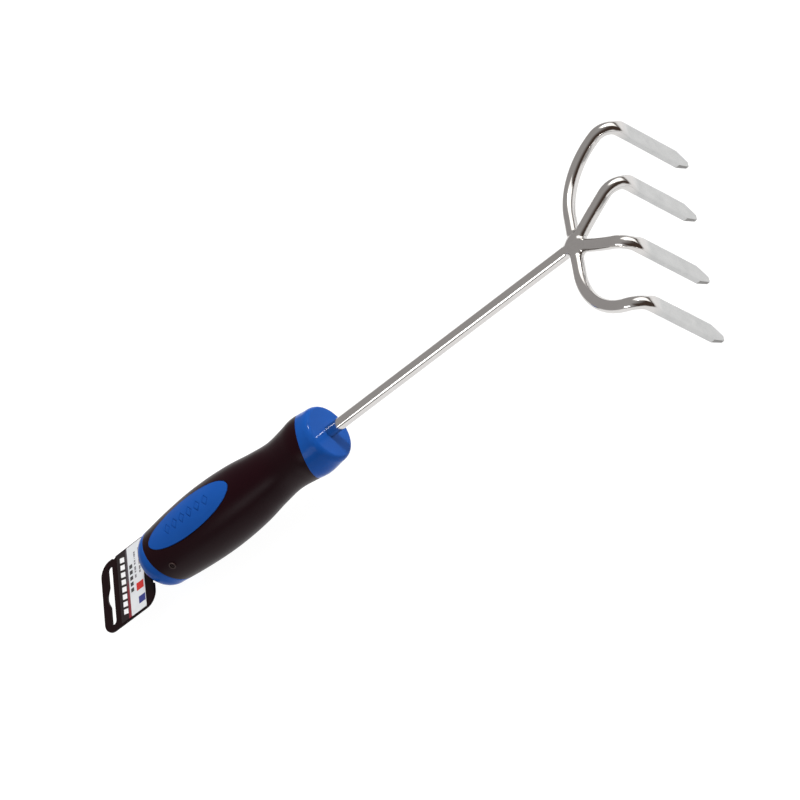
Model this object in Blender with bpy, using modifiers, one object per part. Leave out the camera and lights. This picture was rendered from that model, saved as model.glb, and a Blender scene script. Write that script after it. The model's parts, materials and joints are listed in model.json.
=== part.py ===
"""Hand cultivator: four bladed tines on a welded rod head, and a two-material handle.

The tool is drawn in its own axes: +Y runs along the shaft from the handle to the tines,
+X is the right-hand side and +Z is up, with the origin where the shaft meets the bow. The
empty named tool_frame then tips it so that the tine tips and the handle rest on z = 0.
Stations along the handle are distances behind the collar's flat front face.
"""

import math

import bmesh
import bpy
import numpy as np
from mathutils import Matrix, Vector

MM = 0.001
GAP = 0.3 * MM

# Rods of the head
ROD_RADIUS = 3.0 * MM
SHAFT_REACH = 164.0 * MM
OUTER_HALF_SPAN = 50.3 * MM
OUTER_BOW_RADIUS = 34.0 * MM
INNER_HALF_SPAN = 18.0 * MM
INNER_LEG_SWEEP = math.radians(11.0)
INNER_RISE = 1.0 * MM
TINE_REACH = 30.8 * MM
BEND_RADIUS = 9.0 * MM
OUTER_DROP = 51.2 * MM
INNER_DROP = 49.4 * MM

# Blades, pressed flat from the ends of the rods
BLADE_WIDTH = 8.8 * MM
BLADE_THICKNESS = 2.6 * MM
PRESS_RUN_UP = 4.0 * MM
PRESS_RUN_OUT = 5.0 * MM
POINT_LENGTH = 7.5 * MM
POINT_WIDTH = 2.8 * MM
POINT_THICKNESS = 1.8 * MM

# Welds
FLARE_RADIUS = 5.0 * MM
FLARE_LENGTH = 5.5 * MM
FLARE_LIP = 0.6 * MM
BEAD_RADIUS = 3.2 * MM

# Tang, the part of the shaft inside the handle
TANG_LENGTH = 78.0 * MM
WING_WIDTH = 9.0 * MM
WING_THICKNESS = 3.0 * MM
WING_LENGTH = 12.0 * MM
WING_SETBACK = 8.0 * MM

# Handle outline: (station, radius) where the grip swells or narrows
COLLAR_FACE_RADIUS = 12.6 * MM
COLLAR_ROUNDING = 4.0 * MM
OUTLINE = [
    (COLLAR_ROUNDING, 14.7 * MM),
    (14.0 * MM, 15.5 * MM),
    (20.0 * MM, 14.6 * MM),
    (32.0 * MM, 13.35 * MM),
    (44.0 * MM, 14.4 * MM),
    (58.0 * MM, 16.4 * MM),
    (83.0 * MM, 17.65 * MM),
    (104.0 * MM, 16.6 * MM),
    (119.0 * MM, 15.1 * MM),
]
DOME_LENGTH = 12.0 * MM

# Seams, each a slanted plane: station on the axis, and how far it moves forward per unit of height
FRONT_SEAM = 14.6 * MM
FRONT_SEAM_SLOPE = 0.47
REAR_SEAM = 115.7 * MM
REAR_SEAM_SLOPE = -0.22

SLEEVE_WALL = 2.5 * MM
INLAY_STATION = 85.0 * MM
INLAY_TURN = math.radians(11.0)
INLAY_LENGTH = 58.4 * MM
INLAY_WIDTH = 18.0 * MM
INLAY_PROUD = 0.25 * MM
SPIGOT_RADIUS = 8.5 * MM
SPIGOT_LENGTH = 14.0 * MM

# Hang card, whose tongue is pushed into a slot in the butt cap
CARD_THICKNESS = 1.2 * MM
CARD_WIDTH = 41.2 * MM
CARD_START = 129.3 * MM
CARD_LENGTH = 37.6 * MM
CARD_CORNER = 7.0 * MM
TONGUE_WIDTH = 14.4 * MM
TONGUE_DEPTH = 12.0 * MM
RELIEF_RADIUS = 1.4 * MM
SIDE_NOTCH_SETBACK = 10.5 * MM
HANG_SLOT_LENGTH = 34.0 * MM
HANG_SLOT_WIDTH = 3.4 * MM
HANG_SLOT_SETBACK = 6.9 * MM
HANG_BULGE_LENGTH = 12.0 * MM
HANG_BULGE_HEIGHT = 1.9 * MM
LABEL_WIDTH = 40.0 * MM
LABEL_LENGTH = 18.8 * MM
LABEL_INSET = 6.2 * MM
LABEL_THICKNESS = 0.3 * MM

# Facets
ROD_SIDES = 16
TURNED_STEPS = 40
MERGE = 0.00001
CUTTER_REACH = 60.0 * MM

# Powers of a section's outline: 2 is an ellipse, and more is boxier
ROUND_SECTION = 2.0
FLAT_SECTION = 5.0


# ---------------------------------------------------------------- scene and helpers


def clear_scene():
    for item in list(bpy.data.objects):
        bpy.data.objects.remove(item, do_unlink=True)


def new_collection(name):
    collection = bpy.data.collections.new(name)
    bpy.context.scene.collection.children.link(collection)
    return collection


def new_material(name, color, metallic, roughness):
    material = bpy.data.materials.new(name)
    material.use_nodes = True
    shader = material.node_tree.nodes["Principled BSDF"]
    shader.inputs["Base Color"].default_value = (*color, 1.0)
    shader.inputs["Metallic"].default_value = metallic
    shader.inputs["Roughness"].default_value = roughness
    return material


def add_object(name, mesh, collection, parent):
    item = bpy.data.objects.new(name, mesh)
    collection.objects.link(item)
    item.parent = parent
    return item


def add_part(name, mesh, material):
    """A sub-part of the tool, with its own material."""
    item = add_object(name, mesh, PARTS, TOOL_FRAME)
    mesh.materials.append(material)
    mesh.shade_smooth()
    mesh.set_sharp_from_angle(angle=math.radians(35))
    return item


def add_cutter(name, mesh):
    """A guide that cuts or shapes other parts, and is no part itself."""
    item = add_object(name, mesh, CUTTERS, TOOL_FRAME)
    item.hide_render = True
    item.display_type = "WIRE"
    return item


def add_boolean(item, operation, other):
    modifier = item.modifiers.new(f"{operation.lower()}_{other.name}", "BOOLEAN")
    modifier.operation = operation
    modifier.solver = "EXACT"
    modifier.object = other


def mesh_from(name, build):
    """A mesh made by build, a function that fills a bmesh."""
    shape = bmesh.new()
    build(shape)
    mesh = bpy.data.meshes.new(name)
    shape.to_mesh(mesh)
    shape.free()
    return mesh


def box_mesh(name, size, place=Matrix()):
    scale = Matrix.Diagonal((*size, 1.0))
    return mesh_from(name, lambda shape: bmesh.ops.create_cube(shape, size=1.0, matrix=place @ scale))


def cylinder_mesh(name, radius, length, place=Matrix()):
    """A cylinder along local Z, centred at the origin of place."""

    def build(shape):
        bmesh.ops.create_cone(
            shape,
            cap_ends=True,
            segments=TURNED_STEPS,
            radius1=radius,
            radius2=radius,
            depth=length,
            matrix=place,
        )

    return mesh_from(name, build)


def ball_mesh(name, radius, place):
    def build(shape):
        bmesh.ops.create_uvsphere(shape, u_segments=20, v_segments=12, radius=radius, matrix=place)

    return mesh_from(name, build)


def profile_mesh(name, points, closed):
    """A polyline of (radius, station) points in the plane that Screw turns."""

    def build(shape):
        corners = [shape.verts.new((radius, 0.0, -station)) for radius, station in points]
        pairs = list(zip(corners, corners[1:]))
        if closed:
            pairs.append((corners[-1], corners[0]))
        for pair in pairs:
            shape.edges.new(pair)

    return mesh_from(name, build)


def turn(item):
    """Turns a profile about the shaft's axis, with station 0 at the collar's face."""
    item.rotation_euler = (-math.pi / 2, 0.0, 0.0)
    item.location = (0.0, -SHAFT_REACH, 0.0)
    screw = item.modifiers.new("turned", "SCREW")
    screw.axis = "Z"
    screw.steps = TURNED_STEPS
    screw.render_steps = TURNED_STEPS
    screw.use_merge_vertices = True
    screw.merge_threshold = MERGE
    screw.use_smooth_shade = True


def along_y(x=0.0, y=0.0, z=0.0):
    """A placement whose local Z runs forward along the shaft."""
    return Matrix.Translation((x, y, z)) @ Matrix.Rotation(-math.pi / 2, 4, "X")


def along_x(x=0.0, y=0.0, z=0.0):
    return Matrix.Translation((x, y, z)) @ Matrix.Rotation(math.pi / 2, 4, "Y")


def behind_face(station, x=0.0, z=0.0):
    """The placement of a point at a station of the handle."""
    return Matrix.Translation((x, -SHAFT_REACH - station, z))


# ---------------------------------------------------------------- handle outline

STATIONS = np.array([station for station, _ in OUTLINE])
RADII = np.array([radius for _, radius in OUTLINE])
SLOPES = np.gradient(RADII, STATIONS)
DOME_START = OUTLINE[-1][0]
BUTT_END = DOME_START + DOME_LENGTH


def grip_radius(station):
    """Radius of the swelling outline, a smooth curve through its stations."""
    place = int(np.clip(np.searchsorted(STATIONS, station) - 1, 0, len(STATIONS) - 2))
    span = STATIONS[place + 1] - STATIONS[place]
    u = (station - STATIONS[place]) / span
    start = (1 + 2 * u) * (1 - u) ** 2 * RADII[place]
    start_slope = u * (1 - u) ** 2 * span * SLOPES[place]
    end = u**2 * (3 - 2 * u) * RADII[place + 1]
    end_slope = u**2 * (u - 1) * span * SLOPES[place + 1]
    return float(start + start_slope + end + end_slope)


def collar_corner(steps=5):
    """Rounded corner from the flat face to the collar's flank."""
    rise = RADII[0] - COLLAR_FACE_RADIUS
    points = []
    for angle in np.linspace(0.0, math.pi / 2, steps):
        radius = COLLAR_FACE_RADIUS + rise * math.sin(angle)
        points.append((radius, COLLAR_ROUNDING * (1 - math.cos(angle))))
    return points


def grip_points(first, last, offset=0.0, step=4.5 * MM):
    """Outline points from one station to another, moved in or out by offset."""
    count = max(2, round((last - first) / step) + 1)
    return [(grip_radius(station) + offset, station) for station in np.linspace(first, last, count)]


def dome_points(offset=0.0, steps=9):
    """The butt's rounded end, from the grip's end to the axis."""
    points = []
    for angle in np.linspace(0.0, math.pi / 2, steps):
        radius = (RADII[-1] + offset) * math.cos(angle)
        points.append((max(radius, 0.0), DOME_START + (DOME_LENGTH + offset) * math.sin(angle)))
    points[-1] = (0.0, points[-1][1])
    return points


def lowest_of_handle(tilt):
    """Height of the handle's lowest point when the tool is tipped forward-up by tilt."""
    outline = grip_points(OUTLINE[0][0], DOME_START) + dome_points()
    heights = [
        -(SHAFT_REACH + station) * math.sin(tilt) - radius * math.cos(tilt) for radius, station in outline
    ]
    return min(heights)


def lowest_of_tines(tilt):
    drop = max(OUTER_DROP, INNER_DROP)
    heel = TINE_REACH - POINT_THICKNESS / 2
    return heel * math.sin(tilt) - drop * math.cos(tilt)


def resting_tilt():
    """The tilt at which the tips and the handle touch one level surface."""
    low, high = 0.0, math.pi / 4
    for _ in range(40):
        middle = (low + high) / 2
        if lowest_of_tines(middle) < lowest_of_handle(middle):
            low = middle
        else:
            high = middle
    return (low + high) / 2


def place_tool_frame(frame):
    """Tips the tool to its rest and puts the middle of its footprint at the origin."""
    tilt = resting_tilt()
    toe = TINE_REACH + POINT_THICKNESS / 2
    front = toe * math.cos(tilt) + max(OUTER_DROP, INNER_DROP) * math.sin(tilt)
    card_end = SHAFT_REACH + CARD_START + CARD_LENGTH
    back = -card_end * math.cos(tilt) - CARD_THICKNESS / 2 * math.sin(tilt)
    frame.rotation_euler = (tilt, 0.0, 0.0)
    frame.location = (0.0, -(front + back) / 2, -lowest_of_tines(tilt))


# ---------------------------------------------------------------- tines


def outer_path(distance):
    """Point and heading of the right half of the bow, seen from above."""
    straight = OUTER_HALF_SPAN - OUTER_BOW_RADIUS
    if distance <= straight:
        return Vector((distance, 0.0)), 0.0
    turn_angle = min((distance - straight) / OUTER_BOW_RADIUS, math.pi / 2)
    beyond = distance - straight - turn_angle * OUTER_BOW_RADIUS
    x = straight + OUTER_BOW_RADIUS * math.sin(turn_angle)
    y = OUTER_BOW_RADIUS * (1 - math.cos(turn_angle)) + beyond
    return Vector((x, y)), turn_angle


def outer_length():
    """Length of the bow's half, seen from above, up to the blade's plane."""
    straight = OUTER_HALF_SPAN - OUTER_BOW_RADIUS
    if TINE_REACH >= OUTER_BOW_RADIUS:
        return straight + OUTER_BOW_RADIUS * math.pi / 2 + TINE_REACH - OUTER_BOW_RADIUS
    return straight + OUTER_BOW_RADIUS * math.acos(1 - TINE_REACH / OUTER_BOW_RADIUS)


def inner_chord():
    return math.hypot(INNER_HALF_SPAN, TINE_REACH)


def inner_radius():
    return inner_chord() / (2 * math.sin(INNER_LEG_SWEEP / 2))


def inner_path(distance):
    """Point and heading of the right inner leg, a shallow arc from the bow's middle."""
    radius = inner_radius()
    chord_heading = math.atan2(TINE_REACH, INNER_HALF_SPAN)
    start_heading = chord_heading - INNER_LEG_SWEEP / 2
    heading = start_heading + distance / radius
    x = radius * (math.sin(heading) - math.sin(start_heading))
    y = radius * (math.cos(start_heading) - math.cos(heading))
    return Vector((x, y)), heading


def inner_length():
    return inner_radius() * INNER_LEG_SWEEP


def section(width, thickness, power):
    """A ring of offsets (across, along the thickness), round at power 2 and boxy above it."""
    ring = []
    for corner in range(ROD_SIDES):
        angle = 2 * math.pi * (corner + 0.5) / ROD_SIDES
        c, s = math.cos(angle), math.sin(angle)
        across = math.copysign(abs(c) ** (2 / power), c) * width / 2
        through = math.copysign(abs(s) ** (2 / power), s) * thickness / 2
        ring.append((across, through))
    return ring


def place_ring(ring, centre, side, face):
    return [centre + side * across + face * through for across, through in ring]


def pressed_section(below_bend):
    """The rod's section where the press flattens it, by distance below the foot of the bend."""
    share = (below_bend + PRESS_RUN_UP) / (PRESS_RUN_UP + PRESS_RUN_OUT)
    share = min(max(share, 0.0), 1.0)
    flat = share * share * (3 - 2 * share)
    width = 2 * ROD_RADIUS + (BLADE_WIDTH - 2 * ROD_RADIUS) * flat
    thickness = 2 * ROD_RADIUS + (BLADE_THICKNESS - 2 * ROD_RADIUS) * flat
    power = ROUND_SECTION + (FLAT_SECTION - ROUND_SECTION) * flat
    return section(width, thickness, power)


def blade_rings(end, drop, foot):
    """Rings of an upright blade, from its tip up to just below the foot of the bend."""
    across, forward = Vector((1.0, 0.0, 0.0)), Vector((0.0, 1.0, 0.0))
    levels = [(-drop, section(POINT_WIDTH, POINT_THICKNESS, FLAT_SECTION))]
    levels.append((-drop + POINT_LENGTH, pressed_section(PRESS_RUN_OUT)))
    for below in (PRESS_RUN_OUT, PRESS_RUN_OUT * 0.6, PRESS_RUN_OUT * 0.25):
        levels.append((foot - below, pressed_section(below)))
    return [place_ring(ring, Vector((end.x, end.y, height)), across, forward) for height, ring in levels]


def tine_rings(path, length, drop, rise, leg_steps):
    """Rings of one right-hand rod, from the tip of its blade back to the bow's middle."""
    end, _ = path(length)
    bend_start = length - BEND_RADIUS
    rings = blade_rings(end, drop, rise - BEND_RADIUS)

    bend_steps = 8
    for step in range(bend_steps, -1, -1):
        share = step / bend_steps
        angle = math.pi / 2 * share
        spot, heading = path(bend_start + BEND_RADIUS * math.sin(angle))
        ahead = Vector((math.cos(heading), math.sin(heading), 0.0))
        direction = ahead * math.cos(angle) + Vector((0.0, 0.0, -math.sin(angle)))
        # the section turns from square to the leg to square to the blade
        side = Vector((ahead.y, -ahead.x, 0.0)).lerp(Vector((1.0, 0.0, 0.0)), share)
        side = (side - direction * side.dot(direction)).normalized()
        centre = Vector((spot.x, spot.y, rise - BEND_RADIUS * (1 - math.cos(angle))))
        ring = pressed_section(-BEND_RADIUS * (math.pi / 2 - angle))
        rings.append(place_ring(ring, centre, side, side.cross(direction)))

    rod = section(2 * ROD_RADIUS, 2 * ROD_RADIUS, ROUND_SECTION)
    for distance in np.linspace(bend_start, 0.0, leg_steps + 1)[1:]:
        spot, heading = path(distance)
        side = Vector((math.sin(heading), -math.cos(heading), 0.0))
        centre = Vector((spot.x, spot.y, rise * distance / bend_start))
        rings.append(place_ring(rod, centre, side, Vector((0.0, 0.0, 1.0))))
    return rings


def loft_mesh(name, rings, close_end, mirrored=False):
    """A skin over rings of equal count, closed at the first ring and, if asked, at the last."""

    def build(shape):
        sign = -1.0 if mirrored else 1.0
        loops = [[shape.verts.new((sign * p.x, p.y, p.z)) for p in ring] for ring in rings]
        for near, far in zip(loops, loops[1:]):
            for corner in range(ROD_SIDES):
                after = (corner + 1) % ROD_SIDES
                shape.faces.new((near[corner], near[after], far[after], far[corner]))
        shape.faces.new(list(reversed(loops[0])))
        if close_end:
            shape.faces.new(loops[-1])
            bmesh.ops.recalc_face_normals(shape, faces=shape.faces)

    return mesh_from(name, build)


def make_outer_bow(steel):
    rings = tine_rings(outer_path, outer_length(), OUTER_DROP, 0.0, leg_steps=14)
    bow = add_part("outer_bow", loft_mesh("outer_bow", rings, close_end=False), steel)
    mirror = bow.modifiers.new("both_halves", "MIRROR")
    mirror.use_axis = (True, False, False)
    mirror.merge_threshold = MERGE


def make_inner_tines(steel, bow_cope):
    rings = tine_rings(inner_path, inner_length(), INNER_DROP, INNER_RISE, leg_steps=4)
    for side, sign in (("left", -1.0), ("right", 1.0)):
        name = f"{side}_inner_tine"
        tine = add_part(name, loft_mesh(name, rings, close_end=True, mirrored=sign < 0), steel)
        over = CUTTER_REACH / 2 - GAP / 2
        size = (CUTTER_REACH, CUTTER_REACH, CUTTER_REACH)
        other_half = add_cutter(
            f"{side}_tine_trim",
            box_mesh(f"{side}_tine_trim", size, Matrix.Translation((-sign * over, 0.0, 0.0))),
        )
        add_boolean(tine, "DIFFERENCE", other_half)
        add_boolean(tine, "DIFFERENCE", bow_cope)


# ---------------------------------------------------------------- shaft and welds


def make_bow_cope():
    """The straight middle of the bow, with the gap that its neighbours keep to it."""
    length = 2 * (OUTER_HALF_SPAN - OUTER_BOW_RADIUS)
    return add_cutter("bow_cope", cylinder_mesh("bow_cope", ROD_RADIUS + GAP, length, along_x()))


def wing_place():
    return behind_face(TANG_LENGTH - WING_SETBACK - WING_LENGTH / 2)


def make_shaft(steel, bow_cope):
    length = SHAFT_REACH + TANG_LENGTH
    shaft = add_part("shaft", cylinder_mesh("shaft", ROD_RADIUS, length, along_y(y=-length / 2)), steel)
    wing_size = (WING_WIDTH, WING_LENGTH, WING_THICKNESS)
    wings = add_cutter("tang_wings", box_mesh("tang_wings", wing_size, wing_place()))
    add_boolean(shaft, "UNION", wings)
    add_boolean(shaft, "DIFFERENCE", bow_cope)


def make_shaft_weld(weld, bow_cope):
    """The fillet that flares from the shaft's end onto the bow."""
    bore = ROD_RADIUS + GAP
    front = -SHAFT_REACH + ROD_RADIUS / 2
    points = []
    steps = 6
    for step in range(steps + 1):
        angle = math.pi / 2 * step / steps
        radius = FLARE_RADIUS - (FLARE_RADIUS - bore - FLARE_LIP) * math.sin(angle)
        points.append((radius, front + FLARE_LENGTH * (1 - math.cos(angle))))
    points.append((bore, front + FLARE_LENGTH))
    points.append((bore, front))
    flare = add_part("shaft_weld", profile_mesh("shaft_weld", points, closed=True), weld)
    turn(flare)
    add_boolean(flare, "DIFFERENCE", bow_cope)


def leg_copes():
    """The two inner rods near the bow, with the gap that the weld beads keep to them."""
    rod = section(2 * (ROD_RADIUS + GAP), 2 * (ROD_RADIUS + GAP), ROUND_SECTION)
    reach = inner_length() - BEND_RADIUS
    copes = {}
    for side, mirrored in (("left", True), ("right", False)):
        rings = []
        for distance in np.linspace(reach, 0.0, 5):
            spot, heading = inner_path(distance)
            across = Vector((math.sin(heading), -math.cos(heading), 0.0))
            centre = Vector((spot.x, spot.y, INNER_RISE * distance / reach))
            rings.append(place_ring(rod, centre, across, Vector((0.0, 0.0, 1.0))))
        name = f"{side}_leg_cope"
        copes[side] = add_cutter(name, loft_mesh(name, rings, close_end=True, mirrored=mirrored))
    return copes


def make_tine_welds(weld, bow_cope, copes):
    """Beads in the corners between the bow and each inner rod, and between the two rods."""
    _, heading = inner_path(0.0)
    # where the bow's front line meets the rod's outer side, and where the two inner sides meet
    outer_x = ROD_RADIUS * (1 + math.cos(heading)) / math.sin(heading)
    crotch_y = ROD_RADIUS / math.cos(heading)
    beads = (
        ("left_tine_weld", (-outer_x, ROD_RADIUS), ("left",)),
        ("right_tine_weld", (outer_x, ROD_RADIUS), ("right",)),
        ("crotch_weld", (0.0, crotch_y), ("left", "right")),
    )
    for name, (x, y), sides in beads:
        place = Matrix.Translation((x, y, 0.0))
        bead = add_part(name, ball_mesh(name, BEAD_RADIUS, place), weld)
        add_boolean(bead, "DIFFERENCE", bow_cope)
        for side in sides:
            add_boolean(bead, "DIFFERENCE", copes[side])


# ---------------------------------------------------------------- handle


def seam_cutter(name, station, slope, side):
    """A half-space that ends half a gap past a slanted seam, in front (+1) or behind (-1)."""
    tilt = -math.atan(slope)
    place = (
        behind_face(station)
        @ Matrix.Rotation(tilt, 4, "X")
        @ Matrix.Translation((0.0, side * (CUTTER_REACH - GAP) / 2, 0.0))
    )
    return add_cutter(name, box_mesh(name, (CUTTER_REACH, CUTTER_REACH, CUTTER_REACH), place))


def make_handle_core(blue, ahead_of_rear, behind_front):
    """Blue core: the front collar, and the tube under the sleeve that holds the tang."""
    collar_end = FRONT_SEAM + (abs(FRONT_SEAM_SLOPE) + 1) * RADII.max()
    flank = grip_points(COLLAR_ROUNDING, collar_end)[1:]
    outline = [(0.0, 0.0)] + collar_corner() + flank + [(0.0, collar_end)]
    collar = add_cutter("collar_form", profile_mesh("collar_form", outline, closed=False))
    turn(collar)
    add_boolean(collar, "DIFFERENCE", behind_front)

    core_start = COLLAR_ROUNDING
    tube = grip_points(core_start, DOME_START, offset=-SLEEVE_WALL)
    outline = [(0.0, core_start)] + tube + [(0.0, DOME_START)]
    core = add_part("handle_core", profile_mesh("handle_core", outline, closed=False), blue)
    turn(core)
    add_boolean(core, "DIFFERENCE", ahead_of_rear)
    add_boolean(core, "UNION", collar)

    bore_depth = TANG_LENGTH + GAP
    bore_mesh = cylinder_mesh(
        "tang_bore", ROD_RADIUS + GAP, 2 * bore_depth, along_y(y=-SHAFT_REACH)
    )
    add_boolean(core, "DIFFERENCE", add_cutter("tang_bore", bore_mesh))
    pocket_size = (WING_WIDTH + 2 * GAP, WING_LENGTH + 2 * GAP, WING_THICKNESS + 2 * GAP)
    pocket = add_cutter("wing_pocket", box_mesh("wing_pocket", pocket_size, wing_place()))
    add_boolean(core, "DIFFERENCE", pocket)

    socket_depth = SPIGOT_LENGTH + GAP
    socket_front = REAR_SEAM - socket_depth
    length = socket_depth + CUTTER_REACH
    socket_mesh = cylinder_mesh(
        "cap_socket", SPIGOT_RADIUS + GAP, length, along_y(y=-SHAFT_REACH - socket_front - length / 2)
    )
    add_boolean(core, "DIFFERENCE", add_cutter("cap_socket", socket_mesh))


def oval_mesh(name, margin):
    """The thumb pad's oval as a prism through the top of the grip, grown by margin."""
    length = INLAY_LENGTH / 2 + margin
    width = INLAY_WIDTH / 2 + margin
    bottom = RADII.min() / 3
    scale = Matrix.Diagonal((width, length, 1.0, 1.0))
    place = (
        behind_face(INLAY_STATION)
        @ Matrix.Rotation(INLAY_TURN, 4, "Y")
        @ Matrix.Translation((0.0, 0.0, bottom + CUTTER_REACH / 2))
    )
    return cylinder_mesh(name, 1.0, CUTTER_REACH, place @ scale)


def make_grip_sleeve(black, ahead_of_rear, in_front):
    """Soft black sleeve over the core, with an oval window for the thumb pad."""
    outer = grip_points(COLLAR_ROUNDING, DOME_START)
    inner = grip_points(COLLAR_ROUNDING, DOME_START, offset=GAP - SLEEVE_WALL)
    sleeve = add_part(
        "grip_sleeve", profile_mesh("grip_sleeve", outer + inner[::-1], closed=True), black
    )
    turn(sleeve)
    add_boolean(sleeve, "DIFFERENCE", in_front)
    add_boolean(sleeve, "DIFFERENCE", ahead_of_rear)
    add_boolean(sleeve, "DIFFERENCE", add_cutter("oval_window", oval_mesh("oval_window", GAP)))


def make_thumb_inlay(blue):
    """Blue oval pad that fills the sleeve's window and stands slightly proud."""
    first = INLAY_STATION - INLAY_LENGTH / 2 - SLEEVE_WALL
    last = min(INLAY_STATION + INLAY_LENGTH / 2 + SLEEVE_WALL, DOME_START)
    outer = grip_points(first, last, offset=INLAY_PROUD)
    inner = grip_points(first, last, offset=GAP - SLEEVE_WALL)
    pad = add_part("thumb_inlay", profile_mesh("thumb_inlay", outer + inner[::-1], closed=True), blue)
    turn(pad)
    add_boolean(pad, "INTERSECT", add_cutter("oval_pad", oval_mesh("oval_pad", 0.0)))


def make_butt_cap(blue, in_front_of_cap):
    """Blue rounded butt, with a spigot in the core and a slot for the hang card's tongue."""
    spigot_front = REAR_SEAM - SPIGOT_LENGTH
    start = REAR_SEAM - (abs(REAR_SEAM_SLOPE) + 1) * RADII.max() / 2
    outline = [(0.0, start)] + grip_points(start, DOME_START)[:-1] + dome_points()
    cap = add_part("butt_cap", profile_mesh("butt_cap", outline, closed=False), blue)
    turn(cap)
    add_boolean(cap, "DIFFERENCE", in_front_of_cap)

    length = DOME_START - spigot_front
    spigot_mesh = cylinder_mesh(
        "cap_spigot", SPIGOT_RADIUS, length, along_y(y=-SHAFT_REACH - spigot_front - length / 2)
    )
    add_boolean(cap, "UNION", add_cutter("cap_spigot", spigot_mesh))

    slot_bottom = tongue_start() - GAP
    slot_length = BUTT_END - slot_bottom + GAP
    slot_size = (TONGUE_WIDTH + 2 * GAP, slot_length, CARD_THICKNESS + 2 * GAP)
    slot_mesh = box_mesh("tongue_slot", slot_size, behind_face(slot_bottom + slot_length / 2))
    add_boolean(cap, "DIFFERENCE", add_cutter("tongue_slot", slot_mesh))


# ---------------------------------------------------------------- hang card


def tongue_start():
    return BUTT_END - TONGUE_DEPTH


def rounded_plate(name, width, length, corner, thickness, centre):
    """A flat plate with round corners, in the plane of the shaft."""

    def build(shape):
        bmesh.ops.create_cube(
            shape, size=1.0, matrix=centre @ Matrix.Diagonal((width, length, thickness, 1.0))
        )
        upright = [
            edge for edge in shape.edges if abs(edge.verts[0].co.z - edge.verts[1].co.z) > thickness / 2
        ]
        bmesh.ops.bevel(shape, geom=upright, offset=corner, segments=6, profile=0.5, affect="EDGES")

    return mesh_from(name, build)


def make_hang_card(plastic):
    """Black card with a hang slot, held by its tongue in the butt."""
    middle = behind_face(CARD_START + CARD_LENGTH / 2)
    plate = rounded_plate("hang_card", CARD_WIDTH, CARD_LENGTH, CARD_CORNER, CARD_THICKNESS, middle)
    card = add_part("hang_card", plate, plastic)

    dome = [(0.0, REAR_SEAM)] + grip_points(REAR_SEAM, DOME_START, offset=GAP)[:-1] + dome_points(offset=GAP)
    clearance = add_cutter("dome_clearance", profile_mesh("dome_clearance", dome, closed=False))
    turn(clearance)
    add_boolean(card, "DIFFERENCE", clearance)

    tongue_length = CARD_START + CARD_CORNER - tongue_start()
    tongue_size = (TONGUE_WIDTH, tongue_length, CARD_THICKNESS)
    tongue_mesh = box_mesh("card_tongue", tongue_size, behind_face(tongue_start() + tongue_length / 2))
    add_boolean(card, "UNION", add_cutter("card_tongue", tongue_mesh))

    deep = 4 * CARD_THICKNESS
    relief_x = (TONGUE_WIDTH + RELIEF_RADIUS) / 2
    relief_station = CARD_START + RELIEF_RADIUS / 2
    side_x = CARD_WIDTH / 2 + RELIEF_RADIUS / 3
    side_station = CARD_START + CARD_LENGTH - SIDE_NOTCH_SETBACK
    spots = ((-relief_x, relief_station), (relief_x, relief_station), (-side_x, side_station))
    for number, (x, station) in enumerate(spots):
        name = f"card_notch_{number + 1}"
        notch = add_cutter(name, cylinder_mesh(name, RELIEF_RADIUS, deep, behind_face(station, x)))
        add_boolean(card, "DIFFERENCE", notch)

    slot_station = CARD_START + CARD_LENGTH - HANG_SLOT_SETBACK
    slot = rounded_plate(
        "hang_slot",
        HANG_SLOT_LENGTH,
        HANG_SLOT_WIDTH,
        HANG_SLOT_WIDTH / 2 - MERGE,
        deep,
        behind_face(slot_station),
    )
    add_boolean(card, "DIFFERENCE", add_cutter("hang_slot", slot))
    bulge_depth = HANG_SLOT_WIDTH / 2 + HANG_BULGE_HEIGHT
    bulge = rounded_plate(
        "hang_slot_bulge",
        HANG_BULGE_LENGTH,
        bulge_depth,
        bulge_depth / 2 - MERGE,
        deep,
        behind_face(slot_station + bulge_depth / 2),
    )
    add_boolean(card, "DIFFERENCE", add_cutter("hang_slot_bulge", bulge))


def make_card_label(paper):
    station = CARD_START + LABEL_INSET + LABEL_LENGTH / 2
    height = CARD_THICKNESS / 2 + GAP + LABEL_THICKNESS / 2
    size = (LABEL_WIDTH, LABEL_LENGTH, LABEL_THICKNESS)
    add_part("card_label", box_mesh("card_label", size, behind_face(station, z=height)), paper)


# ---------------------------------------------------------------- build

clear_scene()
PARTS = new_collection("hand_cultivator")
CUTTERS = new_collection("cutters")
TOOL_FRAME = bpy.data.objects.new("tool_frame", None)
PARTS.objects.link(TOOL_FRAME)
place_tool_frame(TOOL_FRAME)


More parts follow.
